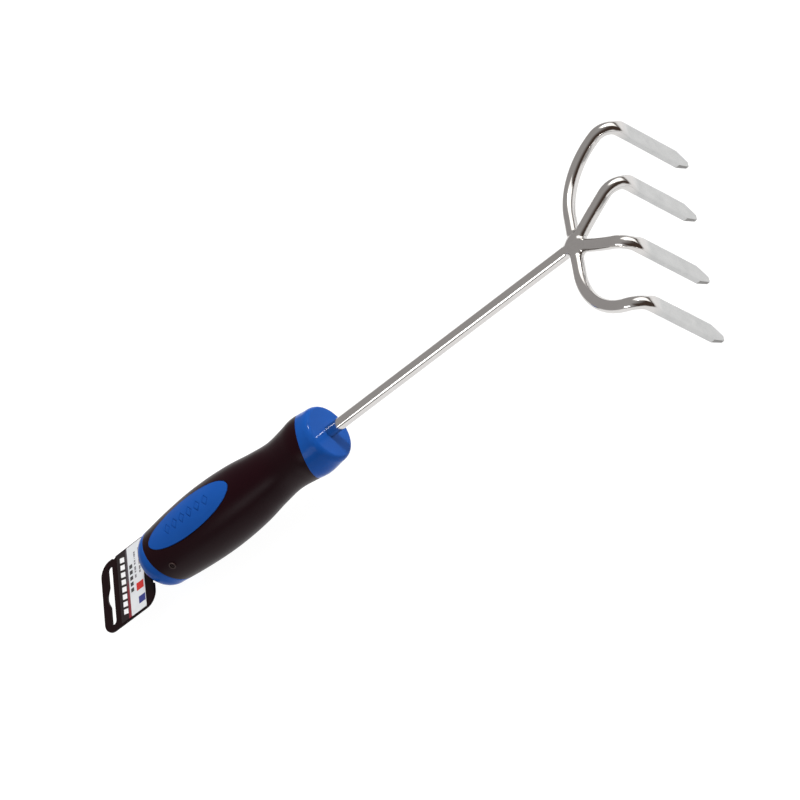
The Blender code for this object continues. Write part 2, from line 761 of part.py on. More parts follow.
def main():
    steel = new_material("polished_steel", (0.62, 0.61, 0.60), 1.0, 0.12)
    weld = new_material("weld_steel", (0.58, 0.57, 0.56), 1.0, 0.22)
    blue = new_material("blue_plastic", (0.02, 0.13, 0.48), 0.0, 0.28)
    black = new_material("black_grip", (0.012, 0.01, 0.012), 0.0, 0.6)
    card_plastic = new_material("card_plastic", (0.015, 0.012, 0.014), 0.0, 0.4)
    paper = new_material("label_paper", (0.85, 0.86, 0.88), 0.0, 0.5)

    bow_cope = make_bow_cope()
    make_outer_bow(steel)
    make_inner_tines(steel, bow_cope)
    make_shaft(steel, bow_cope)
    make_shaft_weld(weld, bow_cope)
    make_tine_welds(weld, bow_cope, leg_copes())

    in_front = seam_cutter("sleeve_front_trim", FRONT_SEAM, FRONT_SEAM_SLOPE, 1)
    behind_front = seam_cutter("collar_trim", FRONT_SEAM, FRONT_SEAM_SLOPE, -1)
    ahead_of_rear = seam_cutter("sleeve_rear_trim", REAR_SEAM, REAR_SEAM_SLOPE, -1)
    in_front_of_cap = seam_cutter("cap_trim", REAR_SEAM, REAR_SEAM_SLOPE, 1)
    make_handle_core(blue, ahead_of_rear, behind_front)
    make_grip_sleeve(black, ahead_of_rear, in_front)
    make_thumb_inlay(blue)
    make_butt_cap(blue, in_front_of_cap)
    make_hang_card(card_plastic)
    make_card_label(paper)


main()
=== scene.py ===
"""Looks of the hand cultivator: polished rod head, two-material handle and printed hang card.

Pieces are drawn in the tool's own axes and placed by TOOL. +Y runs along the shaft from the
handle to the tines, +X is the right-hand side, +Z is up, and the origin is where the shaft
meets the bow. Stations along the handle are distances behind the collar's flat front face.
"""

import itertools
import json
import math

import bmesh
import bpy
import numpy as np
from mathutils import Matrix, Vector


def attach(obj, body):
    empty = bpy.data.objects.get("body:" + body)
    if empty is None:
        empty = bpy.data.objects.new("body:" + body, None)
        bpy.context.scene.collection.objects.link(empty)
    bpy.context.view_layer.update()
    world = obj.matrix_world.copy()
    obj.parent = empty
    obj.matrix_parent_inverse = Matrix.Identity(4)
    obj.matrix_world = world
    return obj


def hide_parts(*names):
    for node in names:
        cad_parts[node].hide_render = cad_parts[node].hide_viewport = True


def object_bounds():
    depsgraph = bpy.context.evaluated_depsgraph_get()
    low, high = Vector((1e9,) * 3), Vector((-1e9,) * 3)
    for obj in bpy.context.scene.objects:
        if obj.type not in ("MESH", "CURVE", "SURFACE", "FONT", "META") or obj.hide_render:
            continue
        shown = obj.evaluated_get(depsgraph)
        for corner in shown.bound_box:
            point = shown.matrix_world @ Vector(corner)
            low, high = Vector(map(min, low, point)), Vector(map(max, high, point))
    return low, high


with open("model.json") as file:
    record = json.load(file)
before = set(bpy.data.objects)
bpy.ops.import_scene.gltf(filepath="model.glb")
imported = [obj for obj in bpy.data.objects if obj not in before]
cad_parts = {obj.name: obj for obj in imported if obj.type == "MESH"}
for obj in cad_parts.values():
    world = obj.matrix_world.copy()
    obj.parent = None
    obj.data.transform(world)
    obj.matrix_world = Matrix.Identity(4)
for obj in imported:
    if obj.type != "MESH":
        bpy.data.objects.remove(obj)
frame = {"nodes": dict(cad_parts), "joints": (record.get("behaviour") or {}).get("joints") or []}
CAD_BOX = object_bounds()

MM = 0.001

# Rods of the head
ROD_RADIUS = 3.0 * MM
SHAFT_REACH = 164.0 * MM
TANG_LENGTH = 78.0 * MM
OUTER_HALF_SPAN = 50.3 * MM
OUTER_BOW_RADIUS = 34.0 * MM
INNER_HALF_SPAN = 18.0 * MM
INNER_LEG_SWEEP = math.radians(11.0)
INNER_RISE = 1.0 * MM
TINE_REACH = 30.8 * MM
BEND_RADIUS = 9.0 * MM
OUTER_DROP = 51.2 * MM
INNER_DROP = 49.4 * MM

# Blades, pressed flat from the ends of the rods
BLADE_WIDTH = 8.8 * MM
BLADE_THICKNESS = 2.6 * MM
PRESS_RUN_UP = 5.5 * MM
PRESS_RUN_OUT = 5.0 * MM
POINT_LENGTH = 7.5 * MM
POINT_WIDTH = 2.8 * MM
POINT_THICKNESS = 1.8 * MM
POINT_ROUNDING = 0.5 * MM
FACET_EDGE = 0.12 * MM
ROUND_SECTION = 2.0
FLAT_SECTION = 9.0
# Rings from the tip whose sides are sheared, rougher and darkened as painted shade (a dark reflection
# painted into the colour), and those of them that are marked all round
SHEAR_SHADE_RINGS = 15
TIP_RINGS = 4

# Weld: how far it reaches along each rod, and how wide it fills the corners
WELD_REACH = 13.0 * MM
WELD_FILL = 3.2 * MM
WELD_GRID = 0.34 * MM
WELD_PROUD = 0.015 * MM
WELD_SUNK = 0.03 * MM
SINK_START = 8.0 * MM
ROD_START = 5.0 * MM

# Handle outline: (station, radius) where the grip swells or narrows
COLLAR_FACE_RADIUS = 12.6 * MM
COLLAR_ROUNDING = 4.0 * MM
OUTLINE = np.array([
    (4.0, 14.7), (14.0, 15.5), (20.0, 14.6), (32.0, 13.35), (44.0, 14.4),
    (58.0, 16.4), (83.0, 17.65), (104.0, 16.6), (119.0, 15.1),
]) * MM
DOME_LENGTH = 12.0 * MM
DOME_START = OUTLINE[-1, 0]
BUTT_END = DOME_START + DOME_LENGTH
SHELL = 1.6 * MM
LIP = 0.3 * MM

# Seams, each a slanted plane: station on the axis, and how far it moves forward per unit of height
FRONT_SEAM = (14.6 * MM, 0.47)
REAR_SEAM = (115.7 * MM, -0.22)
SEAM_GAP = 0.12 * MM
HOLE_GAP = 0.04 * MM

# Thumb pad
PAD_STATION = 85.0 * MM
PAD_TURN = math.radians(11.0)
PAD_LENGTH = 58.4 * MM
PAD_WIDTH = 18.0 * MM
PAD_PROUD = 0.12 * MM
PAD_MARKS = 6
PAD_MARK_PITCH = 5.6 * MM
PAD_MARK_SIZE = 2.6 * MM
PAD_MARK_DEPTH = 0.3 * MM
PAD_MARK_SOFTNESS = 0.3 * MM
PAD_STROKE = 0.55 * MM
PAD_GAP = 0.3 * MM

# Patch of the sleeve that holds the window: half its angle, and its shares of the way between seams
WINDOW_HALF_ANGLE = math.radians(48.0)
WINDOW_START = 0.40
WINDOW_END = 0.977
WINDOW_COLUMNS = 56
WINDOW_ROWS = 96

# Moulded mark on the sleeve
MARK_STATION = 108.3 * MM
MARK_ANGLE = math.radians(66.0)
MARK_SIZE = 1.8 * MM
MARK_INNER_SCALE = 0.32
MARK_STROKE = 0.3
MARK_PROUD = 0.12 * MM
MARK_WALL = 0.4 * MM
MARK_LIP = 0.06 * MM

# Hang card
CARD_THICKNESS = 1.2 * MM
CARD_WIDTH = 41.2 * MM
CARD_START = 129.3 * MM
CARD_LENGTH = 37.6 * MM
CARD_CORNER = 7.0 * MM
TONGUE_WIDTH = 14.4 * MM
TONGUE_DEPTH = 12.0 * MM
NOTCH_RADIUS = 1.4 * MM
SIDE_NOTCH_SETBACK = 10.5 * MM
HANG_SLOT_LENGTH = 34.0 * MM
HANG_SLOT_WIDTH = 3.4 * MM
HANG_SLOT_SETBACK = 6.9 * MM
HANG_BULGE_LENGTH = 12.0 * MM
HANG_BULGE_HEIGHT = 1.9 * MM
CARD_EDGE = 0.14 * MM
LABEL_WIDTH = 40.0 * MM
LABEL_LENGTH = 18.8 * MM
LABEL_INSET = 6.2 * MM
LABEL_THICKNESS = 0.12 * MM
LABEL_CORNER = 0.5 * MM
LABEL_EDGE = 0.03 * MM

# Plain print on the label, in millimetres; a span is measured from the label's rear edge
BAND_END = 7.7
STRIPE_START = 6.6
STRIPE_WIDENING = 0.025
BAR_STARTS = tuple(-17.6 + 4.3 * step for step in range(8))
BAR_WIDTH = 2.9
BAR_LEAN = 0.25
BAR_SPAN = (2.3, 5.5)
SQUARE_STARTS = tuple(-9.0 + 3.4 * step for step in range(5))
SQUARE_WIDTH = 2.2
SQUARE_SPAN = (8.7, 10.9)
DASH_SPACING = 0.8
# Across and span of each row of dashes, and of the two blocks
DASH_ROWS = ((-17.0, 1.0, 12.3, 13.5), (-16.0, -1.0, 15.6, 16.8))
RED_BLOCK = (3.8, 8.2, 12.8, 18.0)
BLUE_BLOCK = (12.0, 16.1, 13.7, 18.5)

# Camera, in the tool's axes: the directions to its right and behind it, and the spot it looks at
CAMERA_RIGHT = (0.1111, 0.6696, -0.7344)
CAMERA_BACK = (0.5981, 0.5451, 0.5875)
CAMERA_AIM = (0.0, -120.0 * MM, -10.0 * MM)
CAMERA_SLIDE_RIGHT = -4.236 * MM
CAMERA_SLIDE_UP = -4.195 * MM
CAMERA_DISTANCE = 1791.25 * MM
SENSOR_WIDTH = 36.0
FOCAL_LENGTH = 175.4
FAR_LIMIT = 20.0

# Floor: its glow, and the lit middle that fades outwards, in metres
FLOOR_HALF_SIZE = 8.0
FLOOR_GLOW = 0.96
FLOOR_FAR = (0.32, 0.31, 0.305)
LIT_CENTRE = (-0.085, -0.008)
LIT_HALF_LENGTH = 0.385
LIT_HALF_WIDTH = 0.283
LIT_FADE = 0.4

# Lit panel on the tool's right
SIDE_PANEL_PLACE = (0.41, -0.215, 0.245)
SIDE_PANEL_AIM = (0.0, 0.08, 0.05)
SIDE_PANEL_SIZE = (0.23, 0.15)
SIDE_PANEL_POWER = 0.5

# Studio all round, angles in degrees: azimuth turns from +X to +Y
WALL_LOW = (0.42, 0.405, 0.40)
WALL_HIGH = (0.44, 0.425, 0.415)
WALL_RISE = (-10.0, 70.0)
DARK_SIDE = (0.075, 0.052, 0.040)
DARK_SIDE_AZIMUTH = (-18.0, 92.0)
DARK_SIDE_SOFTNESS = 14.0
DARK_SIDE_TOP = (30.0, 68.0)
# Each patch: colour, azimuth and its softness, elevation and its softness
PATCHES = (
    # broad panel, the lamp in it, a dark stand, and the dark gap under the panel
    ((2.0, 1.97, 1.9), (88.0, 156.0), 9.0, (15.0, 68.0), 9.0),
    ((112.0, 110.0, 107.0), (117.0, 131.0), 3.0, (47.0, 57.0), 3.0),
    ((0.11, 0.10, 0.095), (-48.0, -16.0), 6.0, (-20.0, 6.0), 3.0),
    ((0.16, 0.14, 0.125), (94.0, 152.0), 8.0, (-14.0, 9.0), 6.0),
)


# ---------------------------------------------------------------- the tool's axes, from the frame


def tool_axes():
    """Placement of the tool's own axes: the card pulls off straight back along the shaft."""
    ahead = -Vector(frame["joints"][0]["axis"]).normalized()
    right = Vector((1.0, 0.0, 0.0))
    up = right.cross(ahead)
    points = [vertex.co for vertex in frame["nodes"]["shaft"].data.vertices]
    rear = min(point.dot(ahead) for point in points)
    end_ring = [point for point in points if point.dot(ahead) < rear + ROD_RADIUS / 100]
    tang_end = sum(end_ring, Vector()) / len(end_ring)
    origin = tang_end + ahead * (SHAFT_REACH + TANG_LENGTH)
    axes = Matrix((right, ahead, up)).transposed().to_4x4()
    return Matrix.Translation(origin) @ axes


TOOL = tool_axes()


def behind_face(station, x=0.0, z=0.0):
    """A point of the handle, by its station."""
    return Vector((x, -SHAFT_REACH - station, z))


# ---------------------------------------------------------------- finishes


class Value:
    """A socket's output that adds Math nodes when Python arithmetic is done on it."""

    def __init__(self, finish, socket):
        self.finish = finish
        self.socket = socket

    def math(self, operation, *values):
        return self.finish.math(operation, *values)

    def __add__(self, other):
        return self.math("ADD", self, other)

    def __sub__(self, other):
        return self.math("SUBTRACT", self, other)

    def __rsub__(self, other):
        return self.math("SUBTRACT", other, self)

    def __mul__(self, other):
        return self.math("MULTIPLY", self, other)

    def __truediv__(self, other):
        return self.math("DIVIDE", self, other)

    def __gt__(self, other):
        return self.math("GREATER_THAN", self, other)

    def __lt__(self, other):
        return self.math("LESS_THAN", self, other)

    def __abs__(self):
        return self.math("ABSOLUTE", self)

    def clamped(self):
        return self.math("MINIMUM", self.math("MAXIMUM", self, 0.0), 1.0)

    def rising(self, low, high):
        """From 0 at low to 1 at high."""
        return ((self - low) / (high - low)).clamped()

    __radd__ = __add__
    __rmul__ = __mul__


class Nodes:
    """A shader's node tree, filled from Python."""

    def __init__(self, tree, shader):
        self.tree = tree
        self.shader = tree.nodes[shader]

    def set(self, socket, value):
        """Gives a shader socket a constant, or what varies over the surface."""
        place = self.shader.inputs[socket]
        if isinstance(value, Value):
            self.tree.links.new(value.socket, place)
        elif isinstance(value, tuple):
            place.default_value = (*value, 1.0)
        else:
            place.default_value = value

    def node(self, kind, settings=None, inputs=None, output=0):
        """Any node: its settings are set first, then the values or links of its sockets."""
        made = self.tree.nodes.new(kind)
        for setting, value in (settings or {}).items():
            setattr(made, setting, value)
        for socket, value in (inputs or {}).items():
            if isinstance(value, Value):
                self.tree.links.new(value.socket, made.inputs[socket])
            elif isinstance(value, tuple) and made.inputs[socket].type == "RGBA":
                made.inputs[socket].default_value = (*value, 1.0)
            else:
                made.inputs[socket].default_value = value
        return Value(self, made.outputs[output])

    def math(self, operation, *values):
        return self.node("ShaderNodeMath", {"operation": operation}, dict(enumerate(values)))

    def parts(self, vector):
        """The three parts of a vector."""
        inputs = {"Vector": vector}
        return [self.node("ShaderNodeSeparateXYZ", inputs=inputs, output=axis) for axis in range(3)]

    def mix(self, share, first, second):
        """Colours mixed by share, from first at 0 to second at 1."""
        inputs = {0: share, 6: first, 7: second}
        return self.node("ShaderNodeMix", {"data_type": "RGBA"}, inputs, output=2)


class Finish(Nodes):
    """A procedural material on a Principled shader."""

    def __init__(self, name, **constants):
        self.material = bpy.data.materials.new(name)
        self.material.use_nodes = True
        super().__init__(self.material.node_tree, "Principled BSDF")
        for socket, value in constants.items():
            self.set(socket.replace("_", " ").title().replace("Ior", "IOR"), value)

    def place(self):
        """Object coordinates: the tool's own axes, in metres."""
        return self.node("ShaderNodeTexCoord", output="Object")

    def stretched(self, factors):
        """Object coordinates, each scaled by its factor."""
        inputs = {0: self.place(), 1: factors}
        return self.node("ShaderNodeVectorMath", {"operation": "MULTIPLY"}, inputs)

    def noise(self, size, detail=2.0, roughness=0.5, where=None):
        """Soft noise from 0 to 1 whose blotches are about size across."""
        inputs = {"Vector": where or self.place(), "Scale": 1 / size}
        inputs.update({"Detail": detail, "Roughness": roughness})
        return self.node("ShaderNodeTexNoise", inputs=inputs, output="Fac")

    def bump(self, height, depth, strength=1.0):
        """Raises the surface by up to depth where height is 1."""
        inputs = {"Height": height, "Distance": depth, "Strength": strength}
        self.set("Normal", self.node("ShaderNodeBump", inputs=inputs))


def polished_steel():
    """Bright rods that turn satin where the press has flattened them into blades."""
    steel = Finish("polished_steel", metallic=1.0)
    _, _, height = steel.parts(steel.place())
    blade = ((-BEND_RADIUS - height) / PRESS_RUN_OUT + 0.5).clamped()
    smudge = steel.noise(9 * MM, detail=3.0)
    draw_lines = steel.noise(0.5 * MM, where=steel.stretched((1.0, 0.06, 1.0)))
    patches = steel.noise(5 * MM, detail=2.0)
    scratches = steel.noise(0.4 * MM, detail=1.0, where=steel.stretched((1.0, 1.0, 0.08)))
    rod_tone = steel.mix(smudge, (0.57, 0.555, 0.545), (0.64, 0.625, 0.615))
    blade_tone = steel.mix(patches, (0.43, 0.435, 0.435), (0.55, 0.55, 0.55))
    tone = steel.mix(blade, rod_tone, blade_tone)
    # sheared faces: rougher, and their darker grey colour is painted shade, a dark reflection painted
    # into the steel
    shear_shade = steel.node("ShaderNodeAttribute", {"attribute_name": "shear_shade"}, output="Fac")
    steel.set("Base Color", steel.mix(shear_shade, tone, (0.22, 0.215, 0.21)))
    rod_gloss = 0.07 + smudge * 0.05
    blade_gloss = 0.17 + patches * 0.09
    steel.set("Roughness", rod_gloss + (blade_gloss - rod_gloss) * blade + shear_shade * 0.2)
    rod_height = draw_lines * (1 - blade) * 0.12
    steel.bump(rod_height + (patches + scratches * 0.02) * blade, 0.12 * MM, 0.7)
    return steel.material


def weld_steel():
    """Weld metal ground and polished back to the rods, with faint ripples left."""
    weld = Finish("weld_steel", metallic=1.0)
    ripple = weld.noise(1.6 * MM, detail=2.0)
    weld.set("Base Color", weld.mix(ripple, (0.56, 0.545, 0.535), (0.64, 0.625, 0.615)))
    weld.set("Roughness", 0.09 + ripple * 0.06)
    weld.bump(ripple, 0.05 * MM, 0.6)
    return weld.material


def blue_plastic():
    """Glossy blue moulding with a fine ripple, and scuffs that dull it in places."""
    blue = Finish("blue_plastic", ior=1.13)
    cloud = blue.noise(14 * MM, detail=2.0)
    scuff = blue.noise(2.2 * MM, detail=5.0, roughness=0.7).rising(0.5, 0.72)
    orange_peel = blue.noise(1.6 * MM, detail=1.0)
    # the sunk lozenge strokes are painted a darker blue: painted shade in the grooves
    sunk = blue.node("ShaderNodeAttribute", {"attribute_name": "sunk"}, output="Fac")
    plain = blue.mix(cloud, (0.0070, 0.061, 0.285), (0.0095, 0.072, 0.32))
    blue.set("Base Color", blue.mix(sunk, plain, (0.004, 0.045, 0.22)))
    blue.set("Roughness", 0.13 + scuff * 0.09)
    blue.bump(orange_peel, 0.03 * MM, 0.35)
    return blue.material


def black_grip():
    """Soft over-moulding: matt near-black rubber with a fine spark-eroded grain."""
    grip = Finish("black_grip", ior=1.16)
    grain = grip.noise(0.35 * MM, detail=3.0, roughness=0.65)
    handled = grip.noise(17 * MM, detail=2.0)
    grip.set("Base Color", grip.mix(handled, (0.0085, 0.0010, 0.0026), (0.0112, 0.0018, 0.0036)))
    grip.set("Roughness", 0.29 + handled * 0.08 + grain * 0.06)
    grip.bump(grain, 0.05 * MM, 0.45)
    return grip.material


def worn_grip():
    """The same rubber in a paler, mottled tone, for the mark that stands proud."""
    worn = Finish("worn_grip", ior=1.3)
    mottle = worn.noise(1.2 * MM, detail=3.0)
    worn.set("Base Color", worn.mix(mottle, (0.018, 0.009, 0.009), (0.055, 0.032, 0.028)))
    worn.set("Roughness", 0.42 + mottle * 0.15)
    worn.bump(mottle, 0.03 * MM, 0.4)
    return worn.material


def card_plastic():
    card = Finish("card_plastic", ior=1.15)
    haze = card.noise(6 * MM, detail=3.0)
    fibre = card.noise(0.4 * MM, detail=2.0)
    card.set("Base Color", card.mix(haze, (0.0060, 0.0012, 0.0018), (0.0085, 0.0022, 0.0030)))
    card.set("Roughness", 0.34 + haze * 0.14)
    card.bump(fibre, 0.03 * MM, 0.4)
    return card.material


def label_paper():
    """White coated paper with a dark band, coloured stripe, blocks and rows of plain marks."""
    paper = Finish("label_paper", specular_ior_level=0.3)
    x, y, _ = paper.parts(paper.place())
    half_x, rear = LABEL_WIDTH / 2, LABEL_LENGTH / 2

    def between(value, low, high):
        return (value > low) * (value < high)

    def block(x0, x1, from_rear, to_rear):
        along = between(y, from_rear * MM - rear, to_rear * MM - rear)
        return between(x, x0 * MM, x1 * MM) * along

    def dashes(x0, x1, from_rear, to_rear):
        """A row of short plain dashes where the small print would be."""
        across = x / (DASH_SPACING * MM)
        cell = paper.node("ShaderNodeCombineXYZ", inputs={0: across, 1: from_rear, 2: 0.0})
        pattern = paper.node("ShaderNodeTexNoise", inputs={"Vector": cell, "Scale": 1.0, "Detail": 0.0})
        return block(x0, x1, from_rear, to_rear) * (pattern > 0.43)

    white, cream = (0.59, 0.61, 0.64), (0.54, 0.565, 0.595)
    band_ink, grey_ink, square_ink = (0.0065, 0.002, 0.003), (0.14, 0.14, 0.16), (0.03, 0.03, 0.035)
    dull_stripe, red_stripe = (0.055, 0.045, 0.055), (0.17, 0.012, 0.02)
    bar_white = (0.72, 0.73, 0.75)
    red, blue = (0.45, 0.018, 0.015), (0.022, 0.03, 0.17)
    color = paper.mix(paper.noise(5 * MM), white, cream)
    # dark band, and the stripe that widens and reddens towards +X
    behind = y + rear
    stripe_start = STRIPE_START * MM - (x + half_x) * STRIPE_WIDENING
    band = behind < BAND_END * MM
    color = paper.mix(band, color, band_ink)
    stripe = (behind > stripe_start) * band
    blush = x.rising(-2 * MM, 4 * MM)
    color = paper.mix(stripe, color, paper.mix(blush, dull_stripe, red_stripe))
    for start in BAR_STARTS:
        leaning = x - behind * BAR_LEAN
        bar = between(leaning, start * MM, (start + BAR_WIDTH) * MM)
        bar = bar * between(behind, BAR_SPAN[0] * MM, BAR_SPAN[1] * MM)
        color = paper.mix(bar, color, bar_white)
    for start in SQUARE_STARTS:
        square = block(start, start + SQUARE_WIDTH, *SQUARE_SPAN)
        color = paper.mix(square, color, square_ink)
    for row in DASH_ROWS:
        color = paper.mix(dashes(*row), color, grey_ink)
    color = paper.mix(block(*RED_BLOCK), color, red)
    color = paper.mix(block(*BLUE_BLOCK), color, blue)
    paper.set("Base Color", color)
    paper.set("Roughness", 0.28 + paper.noise(3 * MM) * 0.1)
    paper.bump(paper.noise(0.3 * MM), 0.01 * MM, 0.3)
    return paper.material


# ---------------------------------------------------------------- pieces

FINISHES = {}


def add_piece(name, mesh, finish, replaces=(), body="tool", place=Matrix()):
    """A visible piece, placed in the tool's axes and riding on a body."""
    piece = bpy.data.objects.new(name, mesh)
    bpy.context.scene.collection.objects.link(piece)
    piece.matrix_world = TOOL @ place
    mesh.materials.append(FINISHES[finish])
    mesh.shade_smooth()
    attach(piece, body)
    if replaces:
        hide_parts(*replaces)
    return piece


def mesh_of(name, build):
    """A mesh made by build, which fills a bmesh."""
    shape = bmesh.new()
    build(shape)
    mesh = bpy.data.meshes.new(name)
    shape.to_mesh(mesh)
    shape.free()
    return mesh


def add_patch(shape, grid, around=False):
    """Faces over a grid of points (rows, columns, 3); around joins the last column to the first."""
    rows, columns = grid.shape[:2]
    corners = [[shape.verts.new(point) for point in row] for row in grid]
    for row in range(rows - 1):
        for column in range(columns if around else columns - 1):
            after = (column + 1) % columns
            near, far = corners[row], corners[row + 1]
            shape.faces.new((near[column], near[after], far[after], far[column]))
    return corners


def weld_points(shape):
    bmesh.ops.remove_doubles(shape, verts=shape.verts, dist=MM / 1000)
    bmesh.ops.recalc_face_normals(shape, faces=shape.faces)


def round_edges(piece, width, steps=3):
    """Rounds the edges where faces meet squarely."""
    bevel = piece.modifiers.new("rounded_edges", "BEVEL")
    bevel.limit_method = "ANGLE"
    bevel.angle_limit = math.radians(50)
    bevel.width = width
    bevel.segments = steps
    bevel.harden_normals = False
    weighted = piece.modifiers.new("even_shading", "WEIGHTED_NORMAL")
    weighted.keep_sharp = False
    weighted.weight = 100


def thicken(piece, wall):
    """Turns an outer skin into a shell whose wall grows inwards."""
    shell = piece.modifiers.new("wall", "SOLIDIFY")
    shell.thickness = wall
    shell.offset = -1.0


# ---------------------------------------------------------------- rods


def outer_path(distance):
    """Point and heading of the right half of the bow, seen from above."""
    straight = OUTER_HALF_SPAN - OUTER_BOW_RADIUS
    if distance <= straight:
        return Vector((distance, 0.0)), 0.0
    turned = (distance - straight) / OUTER_BOW_RADIUS
    x = straight + OUTER_BOW_RADIUS * math.sin(turned)
    return Vector((x, OUTER_BOW_RADIUS * (1 - math.cos(turned)))), turned


def outer_length():
    """Length of the bow's half, seen from above, up to the blade's plane."""
    turned = math.acos(1 - TINE_REACH / OUTER_BOW_RADIUS)
    return OUTER_HALF_SPAN - OUTER_BOW_RADIUS + OUTER_BOW_RADIUS * turned


def inner_radius():
    return math.hypot(INNER_HALF_SPAN, TINE_REACH) / (2 * math.sin(INNER_LEG_SWEEP / 2))


def inner_path(distance):
    """Point and heading of the right inner leg, a shallow arc from the bow's middle."""
    radius = inner_radius()
    start = math.atan2(TINE_REACH, INNER_HALF_SPAN) - INNER_LEG_SWEEP / 2
    heading = start + distance / radius
    x = radius * (math.sin(heading) - math.sin(start))
    return Vector((x, radius * (math.cos(start) - math.cos(heading)))), heading


def inner_length():
    return inner_radius() * INNER_LEG_SWEEP


def section(width, thickness, power, corners=48):
    """A ring of offsets (across, along the thickness), round at power 2 and boxy above it."""
    angles = 2 * math.pi * (np.arange(corners) + 0.5) / corners
    c, s = np.cos(angles), np.sin(angles)
    across = np.copysign(np.abs(c) ** (2 / power), c) * width / 2
    through = np.copysign(np.abs(s) ** (2 / power), s) * thickness / 2
    return np.column_stack((across, through))


def ring_at(ring, centre, side, face):
    return np.array(centre) + np.outer(ring[:, 0], side) + np.outer(ring[:, 1], face)


def pressed_section(below_bend):
    """The rod's section where the press flattens it, by distance below the foot of the bend."""
    share = (below_bend + PRESS_RUN_UP) / (PRESS_RUN_UP + PRESS_RUN_OUT)
    share = min(max(share, 0.0), 1.0)
    flat = share * share * (3 - 2 * share)
    width = 2 * ROD_RADIUS + (BLADE_WIDTH - 2 * ROD_RADIUS) * flat
    thickness = 2 * ROD_RADIUS + (BLADE_THICKNESS - 2 * ROD_RADIUS) * flat
    return section(width, thickness, ROUND_SECTION + (FLAT_SECTION - ROUND_SECTION) * flat)


def point_section(above_tip):
    """The blade's section in its point, by height above the tip."""
    share = min(above_tip / POINT_LENGTH, 1.0)
    width = POINT_WIDTH + (BLADE_WIDTH - POINT_WIDTH) * share
    thickness = POINT_THICKNESS + (BLADE_THICKNESS - POINT_THICKNESS) * share
    if above_tip < POINT_ROUNDING:
        drop = 1 - above_tip / POINT_ROUNDING
        shrink = POINT_ROUNDING * (1 - math.sqrt(1 - drop * drop))
        width -= 2 * shrink
        thickness -= shrink
    return section(width, thickness, FLAT_SECTION)


def blade_rings(end, drop, foot):
    """Rings of an upright blade, from its tip up to just below the foot of the bend."""
    across, forward = (1.0, 0.0, 0.0), (0.0, 1.0, 0.0)
    heights = list(POINT_ROUNDING * (1 - np.cos(np.linspace(0.0, math.pi / 2, 6))))
    heights += list(np.linspace(POINT_ROUNDING, POINT_LENGTH - FACET_EDGE, 10)[1:])
    levels = [(height - drop, point_section(height)) for height in heights]
    shank_top = foot - PRESS_RUN_OUT
    for height in np.linspace(POINT_LENGTH + FACET_EDGE - drop, shank_top, 14):
        levels.append((height, pressed_section(PRESS_RUN_OUT)))
    for below in np.linspace(PRESS_RUN_OUT, 0.0, 9)[1:-1]:
        levels.append((foot - below, pressed_section(below)))
    return [ring_at(ring, (end.x, end.y, height), across, forward) for height, ring in levels]


def bend_rings(path, bend_start, rise, steps=22):
    """Rings of the bend, from the top of the blade back to the level leg."""
    rings = []
    for share in np.linspace(1.0, 0.0, steps + 1):
        angle = math.pi / 2 * share
        spot, heading = path(bend_start + BEND_RADIUS * math.sin(angle))
        ahead = Vector((math.cos(heading), math.sin(heading), 0.0))
        direction = ahead * math.cos(angle) + Vector((0.0, 0.0, -math.sin(angle)))
        # the section turns from square to the leg to square to the blade
        side = Vector((ahead.y, -ahead.x, 0.0)).lerp(Vector((1.0, 0.0, 0.0)), share)
        side = (side - direction * side.dot(direction)).normalized()
        centre = (spot.x, spot.y, rise - BEND_RADIUS * (1 - math.cos(angle)))
        ring = pressed_section(-BEND_RADIUS * (math.pi / 2 - angle))
        rings.append(ring_at(ring, centre, side, side.cross(direction)))
    return rings


def leg_rings(path, bend_start, rise, finish_at):
    """Rings of the level leg, from the bend back into the weld."""
    rod = section(2 * ROD_RADIUS, 2 * ROD_RADIUS, ROUND_SECTION)
    count = round((bend_start - finish_at) / (1.0 * MM))
    rings = []
    for distance in np.linspace(bend_start, finish_at, count + 1)[1:]:
        spot, heading = path(distance)
        side = (math.sin(heading), -math.cos(heading), 0.0)
        centre = (spot.x, spot.y, rise * distance / bend_start)
        rings.append(ring_at(rod, centre, side, (0.0, 0.0, 1.0)))
    return rings


def rod_mesh(name, rings, mirrored=False, shear_shade_rings=0):
    """A closed rod through its rings; the sides of the first few are sheared, not pressed, and marked
    for the painted shade.
    """

    def build(shape):
        grid = np.array(rings)
        if mirrored:
            grid[:, :, 0] *= -1
        # marks the sheared faces, which the steel finish paints darker as painted shade
        shear_shade = shape.verts.layers.float.new("shear_shade")
        corners = add_patch(shape, grid, around=True)
        for number, ring in enumerate(corners[:shear_shade_rings]):
            half_width = np.abs(grid[number, :, 0] - grid[number, :, 0].mean()).max()
            for corner in ring:
                beside = abs(corner.co.x - grid[number, :, 0].mean()) > 0.95 * half_width
                corner[shear_shade] = 1.0 if beside or number < TIP_RINGS else 0.0
        shape.faces.new(corners[0])
        shape.faces.new(corners[-1])
        bmesh.ops.recalc_face_normals(shape, faces=shape.faces)

    return mesh_of(name, build)


